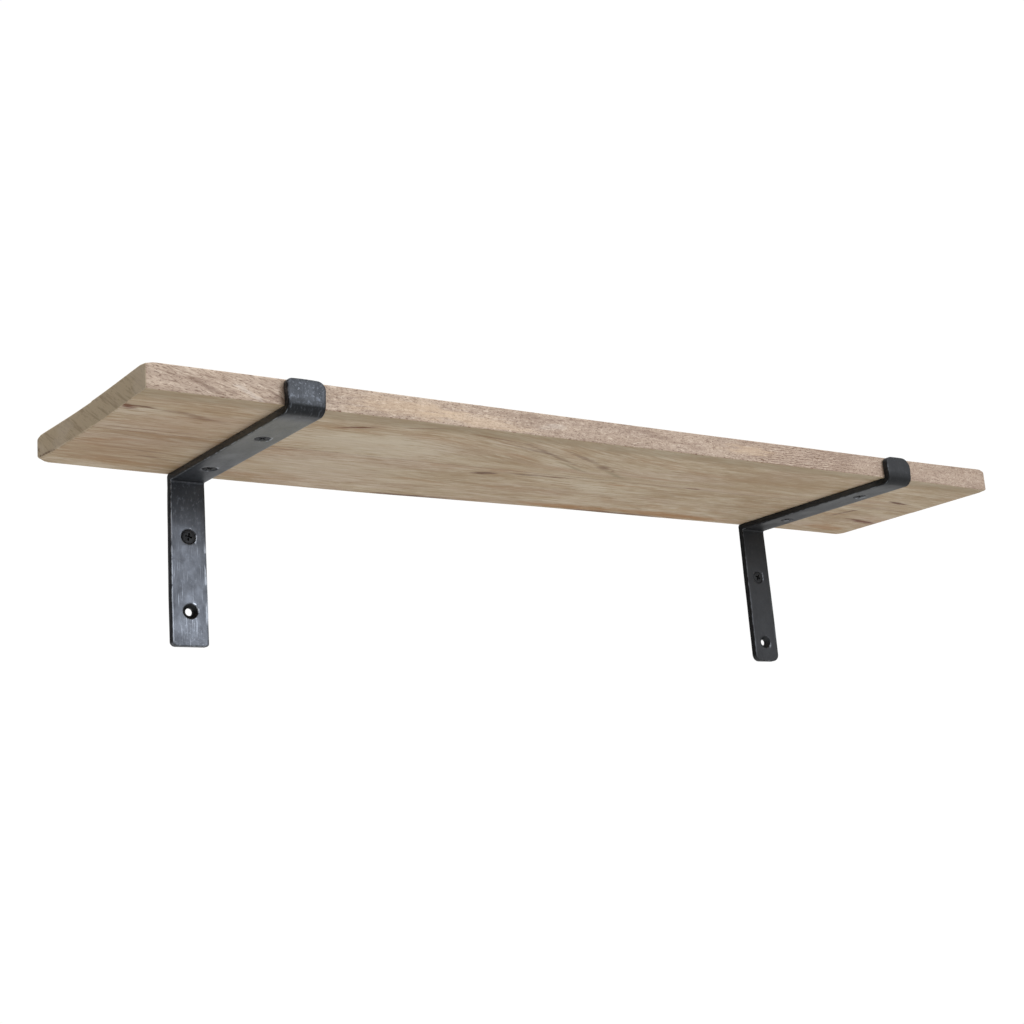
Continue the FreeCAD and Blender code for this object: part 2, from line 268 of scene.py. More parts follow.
# Knots, stains and dark streaks: face, middle (mm), half length and half width (mm), slope
# (degrees), colour and strength. On the underside the places are x, y, on the front edge x, z.
woodMarks = [
    ("under", (-431, -160), (11, 5.2), 24, "red", 1.0),
    ("under", (-419, -162), (14, 2.4), 8, "brown", 0.85),
    ("under", (-397, -158), (20, 3.4), 6, "brown", 0.4),
    ("under", (-374, -151), (16, 5.5), 16, "brown", 0.55),
    ("under", (-357, -147), (12, 3.0), 14, "brown", 0.25),
    ("under", (-400, -111), (48, 1.3), -1, "brown", 0.5),
    ("under", (-395, -60), (70, 60), 0, "amber", 0.34),
    ("under", (-380, -140), (60, 60), 0, "amber", 0.16),
    ("under", (-240, -130), (110, 36), 0, "broadPale", 0.6),
    ("under", (-230, -60), (100, 34), 0, "broadPale", 0.4),
    ("under", (210, -150), (110, 46), 0, "broadDark", 0.5),
    ("under", (260, -60), (90, 50), 0, "brown", 0.10),
    ("under", (-380, -100), (90, 90), 0, "brown", 0.15),
    ("under", (-412, -78), (26, 5), -16, "amber", 0.3),
    ("under", (-376, -58), (30, 2.0), 6, "brown", 0.35),
    ("under", (-362, -43), (30, 1.8), 12, "brown", 0.4),
    ("under", (-280, -99), (22, 1.8), -8, "brown", 0.4),
    ("under", (-256, -169.5), (20, 3.0), -22, "red", 1.0),
    ("under", (-203, -186), (30, 1.5), -18, "red", 0.5),
    ("under", (-137, -182), (32, 1.6), 8, "red", 0.5),
    ("under", (-85, -163), (38, 2.4), 14, "brown", 0.45),
    ("under", (-60, -155), (58, 2.6), 27, "brown", 0.45),
    ("under", (-22, -130), (34, 2.4), 25, "olive", 0.8),
    ("under", (-30, -157), (34, 3.0), 26, "brown", 0.5),
    ("under", (4, -138), (14, 6.0), 30, "brown", 0.6),
    ("under", (31, -121), (26, 3.0), 28, "olive", 0.8),
    ("under", (20, -131), (5, 1.8), 60, "brown", 0.5),
    ("under", (-88, -90), (14, 5.2), -12, "brown", 0.9),
    ("under", (-40, -97), (34, 2.6), -2, "brown", 0.6),
    ("under", (-20, -99), (34, 1.6), 2, "red", 0.5),
    ("under", (136, -105), (13, 2.4), 4, "red", 0.8),
    ("under", (60, -93), (42, 1.8), -4, "amber", 0.6),
    ("under", (-105, -3), (60, 5.5), 0, "brown", 0.9),
    ("under", (60, -10), (60, 9), 0, "amber", 0.8),
    ("under", (190, -12), (110, 11), 2, "amber", 0.8),
    ("under", (120, -4), (90, 4.0), 0, "brown", 0.7),
    ("under", (388, -129), (17, 4.2), 4, "brown", 1.0),
    ("under", (364, -82), (24, 3.4), -70, "brown", 0.7),
    ("under", (416, -56), (30, 6.5), 10, "red", 1.0),
    ("under", (396, -22), (34, 12), 10, "amber", 0.6),
    ("front", (-390, 7), (18, 3.0), -22, "edgePore", 0.7),
    ("front", (-358, 6), (18, 2.2), -28, "white", 0.25),
    ("front", (-336, 6), (12, 1.4), -30, "edgePore", 0.6),
    ("front", (-230, 9.5), (60, 9), 0, "edgeYellow", 0.4),
    ("front", (-165, 6), (60, 7), -4, "edgeYellow", 0.35),
    ("front", (-120, 15), (40, 2.2), 0, "edgePore", 0.45),
    ("front", (-92, 9), (16, 3), 8, "white", 0.2),
    ("front", (15, 12), (34, 3.0), -8, "edgePore", 0.45),
    ("front", (52, 8), (18, 3.5), -6, "brown", 0.25),
    ("front", (118, 10), (34, 5), 0, "edgeYellow", 0.4),
    ("front", (238, 9), (34, 10), 30, "edgePore", 0.3),
    ("left end", (-6, 9), (4, 2.2), 40, "brown", 0.7),
    ("left end", (-9, 3.5), (3, 1.2), 20, "brown", 0.6),
    ("left end", (-22, 2.6), (17, 1.0), 4, "brown", 0.7),
]


def addMark(tree, place, tone, ragged, mark):
    # one stain: an ellipse on its own face, with a ragged soft edge
    face, middle, half, slope, colorName, strength = mark
    first, second = (value * mm for value in middle)
    long, wide = (value * mm for value in half)
    turn = math.radians(slope)
    deep = 4 * mm               # how far a stain reaches into its face
    if face == "under":
        where, turned, size = (first, second, 0), (0, 0, turn), (long, wide, deep)
    elif face == "front":
        where, turned, size = (first, -barShape["depth"], second), (0, -turn, 0), (long, deep, wide)
    else:
        where, turned, size = (woodLook["leftEnd"], first, second), (turn, 0, 0), (2 * deep, long, wide)
    inputs = {"Vector": place, "Location": where, "Rotation": turned, "Scale": size}
    mapped = addNode(tree, "Mapping", inputs, vector_type="TEXTURE").outputs[0]
    away = addNode(tree, "VectorMath", {0: mapped}, operation="LENGTH").outputs["Value"]
    away = plus(tree, away, ragged)
    return mix(tree, ramp(tree, away, 0.25, 1.1, strength, 0), tone, woodLook[colorName])


def broadFace(tree, x, y, shift):
    # long streaks; in the middle of the front plank they swing round towards the wall
    swing = times(tree, ramp(tree, x, -0.19, 0.10, 0, 0.062), ramp(tree, y, -0.10, -0.13))
    swungY = calc(tree, "SUBTRACT", y, swing)
    swung = addNode(tree, "CombineXYZ", {0: x, 1: swungY, 2: shift}).outputs[0]
    drift = calc(tree, "MULTIPLY_ADD", noiseAt(tree, swung, (3, 9, 1), 2, 0.5), 0.02, -0.01)
    bent = addNode(tree, "CombineXYZ", {0: x, 1: plus(tree, swungY, drift), 2: shift}).outputs[0]
    streak = noiseAt(tree, bent, (6, 75, 1), 5, 0.65, 0.5)
    fine = noiseAt(tree, bent, (34, 360, 1), 4, 0.75, 0.3)
    patch = noiseAt(tree, bent, (7, 22, 1), 3, 0.55)
    haze = noiseAt(tree, bent, (9, 30, 1), 3, 0.6, offset=(3, 5, 1))
    warm = noiseAt(tree, bent, (8, 45, 1), 4, 0.65, offset=(9, 2, 4))
    pore = noiseAt(tree, bent, (70, 1100, 1), 2, 0.5)
    ragged = calc(tree, "MULTIPLY_ADD", streak, 0.016, -0.008)
    fromBand = calc(tree, "SUBTRACT", plus(tree, y, ragged), woodLook["bandEdge"])
    fromGlue = calc(tree, "ABSOLUTE", calc(tree, "SUBTRACT", y, woodLook["glueLine"]))
    tone = washed(tree, woodLook["broad"], woodLook, [
        (haze, 0.42, 0.64, 0.55, "broadDark"),
        (haze, 0.46, 0.30, 0.6, "broadPale"),
        (streak, 0.50, 0.66, 0.6, "broadDark"),
        (streak, 0.47, 0.33, 0.6, "broadPale"),
        (patch, 0.46, 0.66, 0.6, "broadPink"),
        (warm, 0.50, 0.66, 0.36, "amber"),
        (fine, 0.50, 0.64, 0.75, "broadDark"),
        (fine, 0.48, 0.36, 0.6, "broadPale"),
        (pore, 0.60, 0.74, 0.35, "brown"),
        (fromBand, 4 * mm, -3 * mm, 0.5, "olive"),
        (fromGlue, 0.9 * mm, 0.2 * mm, 0.45, "brown"),
    ])
    height = plus(tree, times(tree, fine, 0.5), times(tree, pore, -0.4))
    return tone, height


def sawnEdge(tree, place, x):
    # short pores, slanting down to the right near the left end and wavy lines further right;
    # the timber darkens from the left bracket to the right end
    tilt = {"Vector": place, "Rotation": (0, math.radians(-25), 0), "Scale": (0.5, 1, 1)}
    slanted = addNode(tree, "Mapping", tilt).outputs[0]
    grain = mix(tree, ramp(tree, x, -0.335, -0.30, 1, 0), place, slanted, "VECTOR")
    pore = noiseAt(tree, grain, (480, 300, 1150), 3, 0.65, 0.4)
    coarse = noiseAt(tree, grain, (150, 200, 560), 4, 0.7, 0.5)
    patch = noiseAt(tree, place, (14, 14, 70), 3, 0.6)
    tone = washed(tree, woodLook["edge"], woodLook, [
        (patch, 0.66, 0.36, 0.35, "edgePore"),
        (coarse, 0.50, 0.30, 0.75, "edgePale"),
        (coarse, 0.52, 0.68, 0.7, "edgePore"),
        (pore, 0.53, 0.64, 0.95, "edgePore"),
        (pore, 0.42, 0.30, 0.35, "edgePale"),
        (x, -0.16, 0.02, 0.16, "edgePore"),
        (x, 0.24, 0.36, 0.16, "edgePore"),
    ])
    wavy = {"Vector": scaled(tree, place, (60, 60, 190)), "Scale": 0.9, "Distortion": 9.0,
            "Detail": 3.0, "Detail Scale": 1.2}
    waves = addNode(tree, "TexWave", wavy, bands_direction="Z").outputs["Fac"]
    region = faded(tree, x, (0.10, 0.14), (0.27, 0.23))
    lines = times(tree, ramp(tree, waves, 0.75, 1.0, 0, 0.75), region)
    tone = mix(tree, lines, tone, woodLook["brown"])
    height = plus(tree, times(tree, pore, -0.7), times(tree, coarse, -0.7))
    return tone, height


def endFace(tree, place):
    # growth rings, slanting
    tilt = {"Vector": place, "Rotation": (math.radians(-32), 0, 0)}
    slanted = addNode(tree, "Mapping", tilt).outputs[0]
    ring = noiseAt(tree, slanted, (60, 28, 330), 4, 0.6, 0.5)
    fleck = noiseAt(tree, slanted, (500, 240, 900), 2, 0.5)
    cloud = noiseAt(tree, place, (20, 30, 60), 2, 0.5)
    return washed(tree, woodLook["end"], woodLook, [
        (ring, 0.48, 0.62, 0.6, "endRing"),
        (cloud, 0.5, 0.68, 0.6, "endPale"),
        (fleck, 0.56, 0.72, 0.4, "endRing"),
    ])


def makeWood(name, isFront, shift):
    material, tree = newMaterial(name)
    place = addNode(tree, "TexCoord").outputs["Object"]
    x, y = addNode(tree, "SeparateXYZ", {"Vector": place}).outputs[:2]
    facing = addNode(tree, "NewGeometry").outputs["Normal"]
    facing = addNode(tree, "SeparateXYZ", {"Vector": facing}).outputs
    facingX, facingY, facingZ = [calc(tree, "ABSOLUTE", part) for part in facing]
    onEdge = ramp(tree, facingY, 0.5, 0.8)
    onEnd = ramp(tree, facingX, 0.3, 0.95)
    tones = {}
    tones["under"], broadHeight = broadFace(tree, x, y, shift)
    tones["front"], edgeHeight = sawnEdge(tree, place, x)
    tones["left end"] = endFace(tree, place)

    ragged = noiseAt(tree, place, (45, 500, 500), 3, 0.6)
    ragged = calc(tree, "MULTIPLY_ADD", ragged, 2.4, -1.2)
    for mark in woodMarks:
        face, middle = mark[:2]
        isForward = face == "front" or face == "under" and middle[1] * mm < woodLook["glueLine"]
        if isForward == isFront:
            tones[face] = addMark(tree, place, tones[face], ragged, mark)

    tone = mix(tree, onEdge, tones["under"], tones["front"])
    tone = mix(tree, onEnd, tone, tones["left end"])
    height = mix(tree, onEdge, broadHeight, edgeHeight, "FLOAT")
    # the arrises are a little rubbed and pick up small reddish nicks
    nick = noiseAt(tree, place, (260, 300, 300), 2, 0.6)
    onArris = times(tree, ramp(tree, facingY, 0.15, 0.5), ramp(tree, facingZ, 0.15, 0.5))
    nicked = times(tree, onArris, ramp(tree, nick, 0.56, 0.66, 0, 0.7))
    tone = mix(tree, nicked, tone, woodLook["red"])
    dull = noiseAt(tree, place, (30, 120, 120), 2, 0.5)
    rough = ramp(tree, dull, 0.3, 0.7, *woodLook["rough"])
    inputs = {"Base Color": tone, "Roughness": rough, "Specular IOR Level": woodLook["specular"]}
    finishMaterial(tree, inputs, height, woodLook["relief"], 0.6 * mm)
    return material


boardShape = {
    "arris": 1.8 * mm,
    "glueChamfer": 0.15 * mm,
    "corners": {               # how round each corner is, seen from above
        ("left", "front"): 1.0 * mm,
        ("right", "front"): 2.0 * mm,
        ("left", "back"): 4.0 * mm,
        ("right", "back"): 5.0 * mm,
    },
    "pulls": {                 # how far each corner is rubbed away, above and below, and how wide
        ("left", "front"): (1.5 * mm, 0.3 * mm, 7 * mm),
        ("left", "back"): (4.0 * mm, 4.5 * mm, 8 * mm),
        ("right", "front"): (3.0 * mm, 1.2 * mm, 7 * mm),
        ("right", "back"): (1.5 * mm, 1.0 * mm, 9 * mm),
    },
    "leftTaper": 5.5 * mm,     # each end draws in this much from the wall to the front edge
    "rightTaper": 2.5 * mm,
    "wave": 0.5 * mm,          # unevenness of the faces and edges
    "mesh": (3 * mm, 6 * mm, 3.5 * mm),   # size of the mesh along each axis
}

# Departures from the true board: how much, where they are greatest and how far they reach. The
# first two are placed by share of the depth, the others by metres along the board.
boardHumps = {
    "hollow": (1.2 * mm, 0.45, 0.3),      # the left end is hollow at mid-depth
    "bulge": (1.5 * mm, 1, 0.22),         # and stands out at the wall
    "sag": (1.1 * mm, -0.17, 0.12),       # the back edge hangs low left of the middle
    "lift": (1.2 * mm, -0.46, 0.07),      # and rises at the left end
    "thin": (0.5 * mm, 0, 0.25),          # planed away from the front edge's top
    "swellAbove": (0.9 * mm, 0.46, 0.08),   # the right end is thicker above
    "swellBelow": (1.2 * mm, 0.46, 0.08),   # and below
}


def bump(value, middle, width):
    return math.exp(-((value - middle) / width) ** 2)


def hump(name, value):
    size, middle, width = boardHumps[name]
    return size * bump(value, middle, width)


def shapeBoard(place, low, high):
    # from a true box to the board as it was sawn and sanded by hand
    x, y, z = place
    along = (x - low.x) / (high.x - low.x)
    back = (y - low.y) / (high.y - low.y)
    up = (z - low.z) / (high.z - low.z)
    drawnIn = boardShape["leftTaper"] * (1 - along) ** 4 - boardShape["rightTaper"] * along ** 4
    atLeft = max(0, 1 - along * 6)
    newX = x + drawnIn * (1 - back) + (hump("hollow", back) - hump("bulge", back)) * atLeft
    wave = boardShape["wave"]
    outward = 1 if back < 0.5 else -1
    newY = y + wave * noise.noise(Vector((x * 11, z * 20, 7.7 + back * 5))) * outward
    newZ = z + (hump("lift", x) - hump("sag", x)) * back ** 2
    newZ -= hump("thin", x) * up * (1 - back)
    newZ += up * hump("swellAbove", x) - (1 - up) * hump("swellBelow", x)
    for (end, depthwise), (fromTop, fromBottom, reach) in boardShape["pulls"].items():
        cornerX = low.x if end == "left" else high.x
        cornerY = low.y if depthwise == "front" else high.y
        near = max(0, 1 - math.hypot(x - cornerX, y - cornerY) / reach) ** 1.5
        newZ -= near * (up * fromTop - (1 - up) * fromBottom)
    newZ += wave * (1 - 2 * up) * (0.5 + 0.5 * noise.noise(Vector((x * 9, y * 6, 3.1))))
    return Vector((newX, newY, newZ))


def uprightEdges(bm, across, along):
    # the upright edges at one corner of a box
    return [edge for edge in bm.edges if all(
        abs(vert.co.x - across) < 1e-6 and abs(vert.co.y - along) < 1e-6 for vert in edge.verts)]


def levelEdges(bm):
    return [edge for edge in bm.edges if abs(edge.verts[0].co.z - edge.verts[1].co.z) < 1e-7]


def makePlank(node, name, material):
    boardLow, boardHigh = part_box("rear_plank")
    plankLow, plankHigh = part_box(node)
    isFront = node == "front_plank"
    glue = plankHigh.y if isFront else plankLow.y
    outer = plankLow.y if isFront else plankHigh.y
    bm = bmesh.new()
    makeBox(bm, (boardLow.x, plankLow.y, boardLow.z), (boardHigh.x, plankHigh.y, boardHigh.z))

    for end, across in (("left", boardLow.x), ("right", boardHigh.x)):
        radius = boardShape["corners"][end, "front" if isFront else "back"]
        bevelEdges(bm, uprightEdges(bm, across, outer), radius, 8)
    level = levelEdges(bm)
    onGlue = [edge for edge in level if all(abs(vert.co.y - glue) < 1e-7 for vert in edge.verts)]
    bevelEdges(bm, [edge for edge in level if edge not in onGlue], boardShape["arris"], 5)
    onGlue = [edge for edge in bm.edges if all(abs(vert.co.y - glue) < 1e-7 for vert in edge.verts)
              and abs(edge.verts[0].co.x - edge.verts[1].co.x) > 0.5]
    bevelEdges(bm, onGlue, boardShape["glueChamfer"], 1)

    inset = 3 * mm
    starts = (boardLow.x, plankLow.y, boardLow.z)
    ends = (boardHigh.x, plankHigh.y, boardHigh.z)
    for axis, step in enumerate(boardShape["mesh"]):
        sliceMesh(bm, axis, spaced(starts[axis] + inset, ends[axis] - inset, step))
    wholeLow = Vector((boardLow.x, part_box("front_plank")[0].y, boardLow.z))
    for vert in bm.verts:
        vert.co = shapeBoard(vert.co, wholeLow, boardHigh)
    finishPiece(bm, name, node, material, 40)


# The shift sets the two planks' grain apart.
frontWood = makeWood("mango front plank", True, 0.0)
rearWood = makeWood("mango rear plank", False, 3.7)
makePlank("front_plank", "boardFrontPlank", frontWood)
makePlank("rear_plank", "boardRearPlank", rearWood)
print("board done")


# Blackened, waxed flat bar. The pattern lies in the flat bar's own place (across, along and off
# the board's side), so it follows the bends.
steelLook = {
    # painted light: each side's arm colour paints the arm's underside paler, as if lit from below, and
    # lip sets how strongly the lip and front bend are painted with shade
    "left": {"base": color(67, 69, 73), "dark": color(54, 56, 60), "pale": color(84, 87, 92),
             "arm": color(104, 103, 96), "lip": 0.66, "scratch": 0.5, "scuff": 0.4, "wearAndGlint": 0.9,
             "rough": (0.50, 0.37), "metal": 0.7},
    "right": {"base": color(42, 42, 43), "dark": color(35, 35, 36), "pale": color(48, 49, 50),
              "arm": color(82, 83, 83), "lip": 0.1, "scratch": 0.04, "scuff": 0.06, "wearAndGlint": 0.5,
              "rough": (0.58, 0.45), "metal": 0.6},
    # shade and bend are painted shade; bright is bare metal for scratches, scuffs and rubbed arrises,
    # and also the painted highlights on the countersink rims and beside the left arris
    "shade": color(28, 29, 30),      # inside the countersinks, on the bends and high on the leg
    "bright": color(182, 186, 192),
    "bend": color(14, 15, 16),
}

# Stretches of the bar, in metres from the top of the lip: where each soft end starts and is full.
barStretches = {
    # the arm, top of the leg, front and front bend stretches place the painted light and shade
    "arm": ((0.026, 0.045), (0.205, 0.05)),
    "shadedLegTop": ((0.205, 0.222), (0.275, 0.235)),
    "front": ((0.034, 0.024),),
    "shadedFrontBend": ((0.034, 0.024), (0.012, 0.018)),
    "lip": ((0.018, 0.008),),
    "leg": ((0.212, 0.24),),
    "scratched": ((0.25, 0.34, 0.12, 1),),
    "longRub": ((0.272, 0.285), (0.345, 0.335)),
    "foot": ((0.335, 0.347, 0, 0.9),),
}


def makeSteel(name, side):
    look = {**steelLook, **steelLook[side]}
    material, tree = newMaterial(name)
    flat = addNode(tree, "Attribute", attribute_name="flatPlace").outputs["Vector"]
    wearAndGlint = addNode(tree, "Attribute", attribute_name="wearAndGlint").outputs["Fac"]
    sunk = addNode(tree, "Attribute", attribute_name="sunk").outputs["Fac"]
    across, along = addNode(tree, "SeparateXYZ", {"Vector": flat}).outputs[:2]
    within = {key: faded(tree, along, *ends) for key, ends in barStretches.items()}
    cloud = noiseAt(tree, flat, (60, 36, 60), 5, 0.6)
    mottle = noiseAt(tree, flat, (420, 260, 300), 4, 0.65)
    tone = washed(tree, look["base"], look, [
        (cloud, 0.55, 0.36, 0.45, "dark"),
        (cloud, 0.52, 0.70, 0.4, "pale"),
    ])
    # painted light and shade: the arm's underside is painted paler, as if lit from below, and the lip,
    # the front bend and the top of the leg are painted darker, as shade
    for stretch, strength, tint in (("arm", 1, "arm"), ("shadedLegTop", 0.6, "shade"),
                                    ("front", look["lip"], "shade"), ("shadedFrontBend", 0.85, "bend")):
        tone = mix(tree, times(tree, within[stretch], strength), tone, look[tint])
    # painted shade darkens the bar's sides, then random pale and dark mottle is laid on
    sideGap = calc(tree, "SUBTRACT", barShape["width"] / 2, calc(tree, "ABSOLUTE", across))
    tone = washed(tree, tone, look, [
        (sideGap, 0.25 * mm, 0.05 * mm, 0.5, "shade"),
        (mottle, 0.53, 0.68, 0.6, "pale"),
        (mottle, 0.45, 0.30, 0.5, "dark"),
    ])
    # fine scratches along the bar, most of them low on the leg
    grazed = noiseAt(tree, flat, (1500, 45, 300), 3, 0.6)
    hair = noiseAt(tree, flat, (3200, 110, 300), 2, 0.5)
    scratch = ramp(tree, grazed, 0.58, 0.76, 0, look["scratch"])
    tone = mix(tree, times(tree, scratch, within["scratched"]), tone, look["bright"])
    tone = washed(tree, tone, look, [(hair, 0.6, 0.8, look["scratch"] * 0.5, "pale")])
    # whitish rubs: flecks on the lip and a few at the foot
    fleck = noiseAt(tree, flat, (620, 420, 500), 5, 0.75, offset=(0.3, 0.1, 0))
    flecked = calc(tree, "MAXIMUM", within["lip"], within["foot"])
    scuff = times(tree, ramp(tree, fleck, 0.56, 0.70, 0, look["scuff"]), flecked)
    # a long pale rub down the right of the leg
    streak = noiseAt(tree, flat, (260, 50, 200), 4, 0.6)
    longRub = times(tree, ramp(tree, across, 12.2 * mm, 13.6 * mm), ramp(tree, streak, 0.42, 0.52))
    longRub = times(tree, times(tree, longRub, within["longRub"]), look["scuff"] * 1.6)
    scuff = calc(tree, "MAXIMUM", scuff, longRub)
    tone = mix(tree, scuff, tone, look["bright"])
    # rubbed arrises, and the painted highlight on the countersink rims, broken up so that only
    # stretches of them shine
    chip = noiseAt(tree, flat, (190, 120, 190), 3, 0.6)
    rubAndGlint = times(tree, ramp(tree, wearAndGlint, 0.45, 0.95), ramp(tree, chip, 0.48, 0.60, 0, look["wearAndGlint"]))
    tone = mix(tree, rubAndGlint, tone, look["bright"])
    # a painted highlight: a fine bright line just inside the left arris, shown on the leg and raised
    # all along
    arrisHighlight = faded(tree, across, (-13.3 * mm, -13.8 * mm), (-14.8 * mm, -14.3 * mm))
    arrisHighlight = times(tree, arrisHighlight, ramp(tree, chip, 0.36, 0.5, 0, look["scuff"]))
    tone = mix(tree, times(tree, arrisHighlight, within["leg"]), tone, look["bright"])
    # painted shade fills the countersinks, so no rub shows inside them
    tone = washed(tree, tone, look, [(sunk, 0.02, 0.2, 1, "shade")])
    rough = ramp(tree, cloud, 0.3, 0.7, *look["rough"])
    rough = plus(tree, rough, times(tree, scuff, 0.15))
    dent = noiseAt(tree, flat, (90, 60, 90), 2, 0.5)
    height = plus(tree, times(tree, dent, 0.6), times(tree, arrisHighlight, 0.12))
    height = plus(tree, height, times(tree, mottle, 0.16))
    inputs = {"Base Color": tone, "Metallic": look["metal"], "Roughness": rough}
    finishMaterial(tree, inputs, height, 0.25, 0.5 * mm)
    return material


def barStations(side):
    # where each stretch of the flat bar ends, counted from the top of the lip
    lip = barShape["lipTop"] - barShape["frontInner"]
    bend = math.pi / 2 * (barShape["frontInner"] + barShape["frontOuter"]) / 2
    arm = barShape["depth"] - barShape["frontInner"] - barShape["cornerZone"]
    corner = 2 * barShape["cornerZone"] - barShape["cornerCut"]
    leg = bracketShape[side]["drop"] * mm - barShape["cornerZone"]
    ends = [0]
    for length in (lip, bend, arm, corner, leg):
        ends.append(ends[-1] + length)
    return ends


def alongCorner(share, start, radius, offset):
    # a point on the wall corner's own line: straight, quarter round, straight
    straight = start - radius - offset
    around = math.pi / 2 * radius
    length = share * (2 * straight + around)
    if length < straight:
        return Vector((-start + length, -offset))
    if length < straight + around:
        turn = (length - straight) / radius
        middle = Vector((-radius - offset, -radius - offset))
        return middle + radius * Vector((math.sin(turn), math.cos(turn)))
    return Vector((-offset, -offset - radius - (length - straight - around)))


def bendBar(place, stations):
    # from the flat bar (x across, y along from the lip's top, z off the board) to its bent place
    across, along, off = place
    lipEnd, bendEnd, armEnd, cornerEnd = stations[1:5]
    depth = barShape["depth"]
    if along <= lipEnd:
        return Vector((across, -depth - off, barShape["lipTop"] - along))
    if along <= bendEnd:
        turn = math.pi / 2 * (along - lipEnd) / (bendEnd - lipEnd)
        radius = barShape["frontInner"] + off
        centre = barShape["frontInner"]
        inward = -depth + centre - radius * math.cos(turn)
        return Vector((across, inward, centre - radius * math.sin(turn)))
    if along <= armEnd:
        return Vector((across, -depth + barShape["frontInner"] + along - bendEnd, -off))
    if along <= cornerEnd:
        share = (along - armEnd) / (cornerEnd - armEnd)
        wallSide = alongCorner(share, barShape["cornerZone"], barShape["wallOuter"], 0)
        roomSide = alongCorner(share, barShape["cornerZone"], barShape["wallInner"], barShape["thick"])
        point = wallSide.lerp(roomSide, off / barShape["thick"])
        return Vector((across, point.x, point.y))
    return Vector((across, -off, -barShape["cornerZone"] - (along - cornerEnd)))


def squareToRound(offset, half):
    # the direction of a point on a square's edge, spread evenly round the circle
    if abs(offset.x) >= abs(offset.y) - 1e-9:
        angle = math.pi / 4 * offset.y / half
        if offset.x < 0:
            angle = math.pi - angle
    else:
        angle = math.pi / 2 - math.pi / 4 * offset.x / half
        if offset.y < 0:
            angle = -angle
    return Vector((math.cos(angle), math.sin(angle)))


def nextRing(bm, edges, middle, radius, height, half=None):
    # extrudes a ring of edges to a circle of the given radius and height
    before = {vert for edge in edges for vert in edge.verts}
    made = bmesh.ops.extrude_edge_only(bm, edges=edges)["geom"]
    newEdges = [item for item in made if isinstance(item, bmesh.types.BMEdge)]
    newEdges = [edge for edge in newEdges if not any(vert in before for vert in edge.verts)]
    for vert in {vert for edge in newEdges for vert in edge.verts}:
        offset = vert.co.xy - middle
        direction = squareToRound(offset, half) if half else offset.normalized()
        vert.co.xy = middle + direction * radius
        vert.co.z = height
    return newEdges


def cutHole(bm, along):
    # a through hole with a countersink on the room side; the mesh around it is a square of quads
    middle = Vector((0, along))
    half = barShape["patch"]
    thick = barShape["thick"]

    def openPatch(height):
        level = [face for face in bm.faces
                 if all(abs(vert.co.z - height) < 1e-6 for vert in face.verts)]
        inside = [face for face in level
                  if max(abs(value) for value in face.calc_center_median().xy - middle) < half]
        border = [edge for face in inside for edge in face.edges
                  if sum(other in inside for other in edge.link_faces) == 1]
        bmesh.ops.delete(bm, geom=inside, context="FACES_ONLY")
        inner = [edge for edge in bm.edges if not edge.link_faces]
        bmesh.ops.delete(bm, geom=inner, context="EDGES")
        return border

    ring = openPatch(thick)
    rim = nextRing(bm, ring, middle, barShape["sink"], thick, half)
    throat = thick - (barShape["sink"] - barShape["hole"])
    ring = nextRing(bm, rim, middle, barShape["hole"], throat)
    nextRing(bm, ring, middle, barShape["hole"], 0)
    nextRing(bm, openPatch(0), middle, barShape["hole"], 0, half)
    bmesh.ops.remove_doubles(bm, verts=bm.verts[:], dist=1e-5)
    rim = [edge for edge in rim if edge.is_valid]
    bevelEdges(bm, rim, barShape["sinkRim"], 2)


